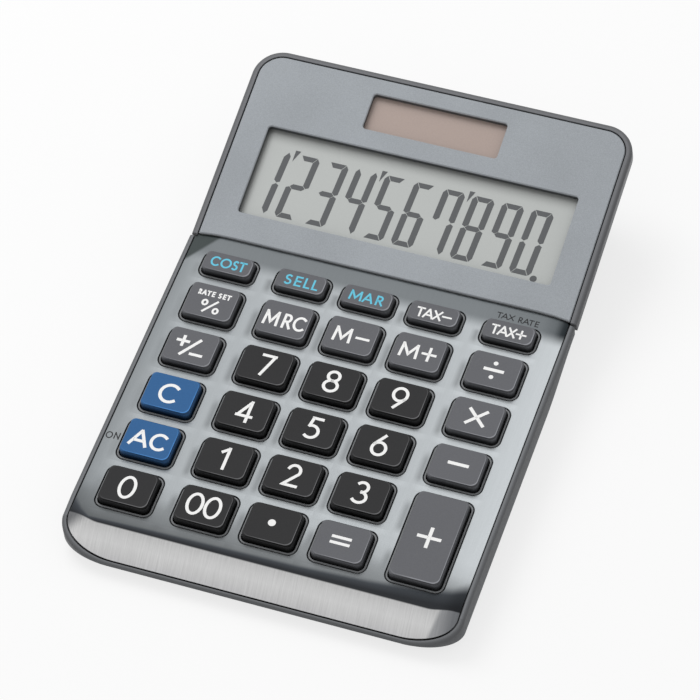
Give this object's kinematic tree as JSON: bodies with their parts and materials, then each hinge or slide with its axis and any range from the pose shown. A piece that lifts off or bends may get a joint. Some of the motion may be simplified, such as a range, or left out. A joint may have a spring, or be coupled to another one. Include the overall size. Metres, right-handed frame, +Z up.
{
  "type": "desktop calculator",
  "caption": "Desktop calculator with a raised tilted display head, a bent brushed metal faceplate and sprung keys that each press down into the wedge-shaped case.",
  "frame": {"origin": "centre of the box at the height of the feet's undersides", "axes": "+X to the user's right, +Y from the user to the back, +Z up; the calculator stands on Z = 0"},
  "size_m": [0.1043, 0.1538, 0.0291],
  "materials": {
    "bottom_case": "fine spark-eroded texture",
    "top_case": "satin",
    "keypad_faceplate": "brushed front to back",
    "head_frame": "satin",
    "display_panel": "satin with fine metallic flake",
    "lcd_glass": "reflective liquid crystal display",
    "solar_cell": "amorphous solar cell behind glass",
    "display_holder": "moulded",
    "main_board": "varnished board",
    "keypad_mat": "matt silicone",
    "lcd_ribbon": "heat-seal film",
    "chip_cover": "resin drop",
    "battery_cell": "nickel plated",
    "contacts": "plated spring strip",
    "screws": "zinc plated",
    "feet": "matt",
    "red_lead": "insulated wire",
    "black_lead": "insulated wire",
    "black_keys": "satin, white printed legend",
    "grey_keys": "satin, printed legend",
    "blue_keys": "satin, white printed legend"
  },
  "bodies": {
    "case": {"bottom_case": "bottom_case", "top_case": "top_case", "keypad_faceplate": "keypad_faceplate", "head_frame": "head_frame", "display_panel": "display_panel", "lcd_glass": "lcd_glass", "solar_cell": "solar_cell", "display_holder": "display_holder", "main_board": "main_board", "keypad_mat": "keypad_mat", "lcd_ribbon": "lcd_ribbon", "chip_cover": "chip_cover", "battery_cell": "battery_cell", "battery_contact_negative": "contacts", "battery_contact_positive": "contacts", "battery_cover": "bottom_case", "battery_cover_screw": "screws", "solar_lead_red": "red_lead", "solar_lead_black": "black_lead", "case_screw_1": "screws", "case_screw_2": "screws", "case_screw_3": "screws", "case_screw_4": "screws", "case_screw_5": "screws", "case_screw_6": "screws", "foot_1": "feet", "foot_2": "feet", "foot_3": "feet", "foot_4": "feet"},
    "key_0": {"key_0": "black_keys"},
    "key_00": {"key_00": "black_keys"},
    "key_point": {"key_point": "black_keys"},
    "key_equals": {"key_equals": "grey_keys"},
    "key_ac": {"key_ac": "blue_keys"},
    "key_1": {"key_1": "black_keys"},
    "key_2": {"key_2": "black_keys"},
    "key_3": {"key_3": "black_keys"},
    "key_c": {"key_c": "blue_keys"},
    "key_4": {"key_4": "black_keys"},
    "key_5": {"key_5": "black_keys"},
    "key_6": {"key_6": "black_keys"},
    "key_minus": {"key_minus": "grey_keys"},
    "key_sign": {"key_sign": "grey_keys"},
    "key_7": {"key_7": "black_keys"},
    "key_8": {"key_8": "black_keys"},
    "key_9": {"key_9": "black_keys"},
    "key_times": {"key_times": "grey_keys"},
    "key_percent": {"key_percent": "grey_keys"},
    "key_mrc": {"key_mrc": "grey_keys"},
    "key_memory_minus": {"key_memory_minus": "grey_keys"},
    "key_memory_plus": {"key_memory_plus": "grey_keys"},
    "key_divide": {"key_divide": "grey_keys"},
    "key_cost": {"key_cost": "grey_keys"},
    "key_sell": {"key_sell": "grey_keys"},
    "key_margin": {"key_margin": "grey_keys"},
    "key_tax_minus": {"key_tax_minus": "grey_keys"},
    "key_tax_plus": {"key_tax_plus": "grey_keys"},
    "key_plus": {"key_plus": "grey_keys"}
  },
  "joints": [
    {"name": "key_0_press", "type": "slide", "parent": "case", "child": "key_0", "axis": [0, 0.0523, -0.9986], "range_m": [0, 0.0012], "stiffness_N_per_m": 400, "deforming": ["keypad_mat"]},
    {"name": "key_00_press", "type": "slide", "parent": "case", "child": "key_00", "axis": [0, 0.0523, -0.9986], "range_m": [0, 0.0012], "stiffness_N_per_m": 400, "deforming": ["keypad_mat"]},
    {"name": "key_point_press", "type": "slide", "parent": "case", "child": "key_point", "axis": [0, 0.0523, -0.9986], "range_m": [0, 0.0012], "stiffness_N_per_m": 400, "deforming": ["keypad_mat"]},
    {"name": "key_equals_press", "type": "slide", "parent": "case", "child": "key_equals", "axis": [0, 0.0523, -0.9986], "range_m": [0, 0.0012], "stiffness_N_per_m": 400, "deforming": ["keypad_mat"]},
    {"name": "key_ac_press", "type": "slide", "parent": "case", "child": "key_ac", "axis": [0, 0.0523, -0.9986], "range_m": [0, 0.0012], "stiffness_N_per_m": 400, "deforming": ["keypad_mat"]},
    {"name": "key_1_press", "type": "slide", "parent": "case", "child": "key_1", "axis": [0, 0.0523, -0.9986], "range_m": [0, 0.0012], "stiffness_N_per_m": 400, "deforming": ["keypad_mat"]},
    {"name": "key_2_press", "type": "slide", "parent": "case", "child": "key_2", "axis": [0, 0.0523, -0.9986], "range_m": [0, 0.0012], "stiffness_N_per_m": 400, "deforming": ["keypad_mat"]},
    {"name": "key_3_press", "type": "slide", "parent": "case", "child": "key_3", "axis": [0, 0.0523, -0.9986], "range_m": [0, 0.0012], "stiffness_N_per_m": 400, "deforming": ["keypad_mat"]},
    {"name": "key_c_press", "type": "slide", "parent": "case", "child": "key_c", "axis": [0, 0.0523, -0.9986], "range_m": [0, 0.0012], "stiffness_N_per_m": 400, "deforming": ["keypad_mat"]},
    {"name": "key_4_press", "type": "slide", "parent": "case", "child": "key_4", "axis": [0, 0.0523, -0.9986], "range_m": [0, 0.0012], "stiffness_N_per_m": 400, "deforming": ["keypad_mat"]},
    {"name": "key_5_press", "type": "slide", "parent": "case", "child": "key_5", "axis": [0, 0.0523, -0.9986], "range_m": [0, 0.0012], "stiffness_N_per_m": 400, "deforming": ["keypad_mat"]},
    {"name": "key_6_press", "type": "slide", "parent": "case", "child": "key_6", "axis": [0, 0.0523, -0.9986], "range_m": [0, 0.0012], "stiffness_N_per_m": 400, "deforming": ["keypad_mat"]},
    {"name": "key_minus_press", "type": "slide", "parent": "case", "child": "key_minus", "axis": [0, 0.0523, -0.9986], "range_m": [0, 0.0012], "stiffness_N_per_m": 400, "deforming": ["keypad_mat"]},
    {"name": "key_sign_press", "type": "slide", "parent": "case", "child": "key_sign", "axis": [0, 0.0523, -0.9986], "range_m": [0, 0.0012], "stiffness_N_per_m": 400, "deforming": ["keypad_mat"]},
    {"name": "key_7_press", "type": "slide", "parent": "case", "child": "key_7", "axis": [0, 0.0523, -0.9986], "range_m": [0, 0.0012], "stiffness_N_per_m": 400, "deforming": ["keypad_mat"]},
    {"name": "key_8_press", "type": "slide", "parent": "case", "child": "key_8", "axis": [0, 0.0523, -0.9986], "range_m": [0, 0.0012], "stiffness_N_per_m": 400, "deforming": ["keypad_mat"]},
    {"name": "key_9_press", "type": "slide", "parent": "case", "child": "key_9", "axis": [0, 0.0523, -0.9986], "range_m": [0, 0.0012], "stiffness_N_per_m": 400, "deforming": ["keypad_mat"]},
    {"name": "key_times_press", "type": "slide", "parent": "case", "child": "key_times", "axis": [0, 0.0523, -0.9986], "range_m": [0, 0.0012], "stiffness_N_per_m": 400, "deforming": ["keypad_mat"]},
    {"name": "key_percent_press", "type": "slide", "parent": "case", "child": "key_percent", "axis": [0, 0.0523, -0.9986], "range_m": [0, 0.0012], "stiffness_N_per_m": 400, "deforming": ["keypad_mat"]},
    {"name": "key_mrc_press", "type": "slide", "parent": "case", "child": "key_mrc", "axis": [0, 0.0523, -0.9986], "range_m": [0, 0.0012], "stiffness_N_per_m": 400, "deforming": ["keypad_mat"]},
    {"name": "key_memory_minus_press", "type": "slide", "parent": "case", "child": "key_memory_minus", "axis": [0, 0.0523, -0.9986], "range_m": [0, 0.0012], "stiffness_N_per_m": 400, "deforming": ["keypad_mat"]},
    {"name": "key_memory_plus_press", "type": "slide", "parent": "case", "child": "key_memory_plus", "axis": [0, 0.0523, -0.9986], "range_m": [0, 0.0012], "stiffness_N_per_m": 400, "deforming": ["keypad_mat"]},
    {"name": "key_divide_press", "type": "slide", "parent": "case", "child": "key_divide", "axis": [0, 0.0523, -0.9986], "range_m": [0, 0.0012], "stiffness_N_per_m": 400, "deforming": ["keypad_mat"]},
    {"name": "key_cost_press", "type": "slide", "parent": "case", "child": "key_cost", "axis": [0, 0.0523, -0.9986], "range_m": [0, 0.0012], "stiffness_N_per_m": 400, "deforming": ["keypad_mat"]},
    {"name": "key_sell_press", "type": "slide", "parent": "case", "child": "key_sell", "axis": [0, 0.0523, -0.9986], "range_m": [0, 0.0012], "stiffness_N_per_m": 400, "deforming": ["keypad_mat"]},
    {"name": "key_margin_press", "type": "slide", "parent": "case", "child": "key_margin", "axis": [0, 0.0523, -0.9986], "range_m": [0, 0.0012], "stiffness_N_per_m": 400, "deforming": ["keypad_mat"]},
    {"name": "key_tax_minus_press", "type": "slide", "parent": "case", "child": "key_tax_minus", "axis": [0, 0.0523, -0.9986], "range_m": [0, 0.0012], "stiffness_N_per_m": 400, "deforming": ["keypad_mat"]},
    {"name": "key_tax_plus_press", "type": "slide", "parent": "case", "child": "key_tax_plus", "axis": [0, 0.0523, -0.9986], "range_m": [0, 0.0012], "stiffness_N_per_m": 400, "deforming": ["keypad_mat"]},
    {"name": "key_plus_press", "type": "slide", "parent": "case", "child": "key_plus", "axis": [0, 0.0523, -0.9986], "range_m": [0, 0.0012], "stiffness_N_per_m": 400, "deforming": ["keypad_mat"]}
  ]
}
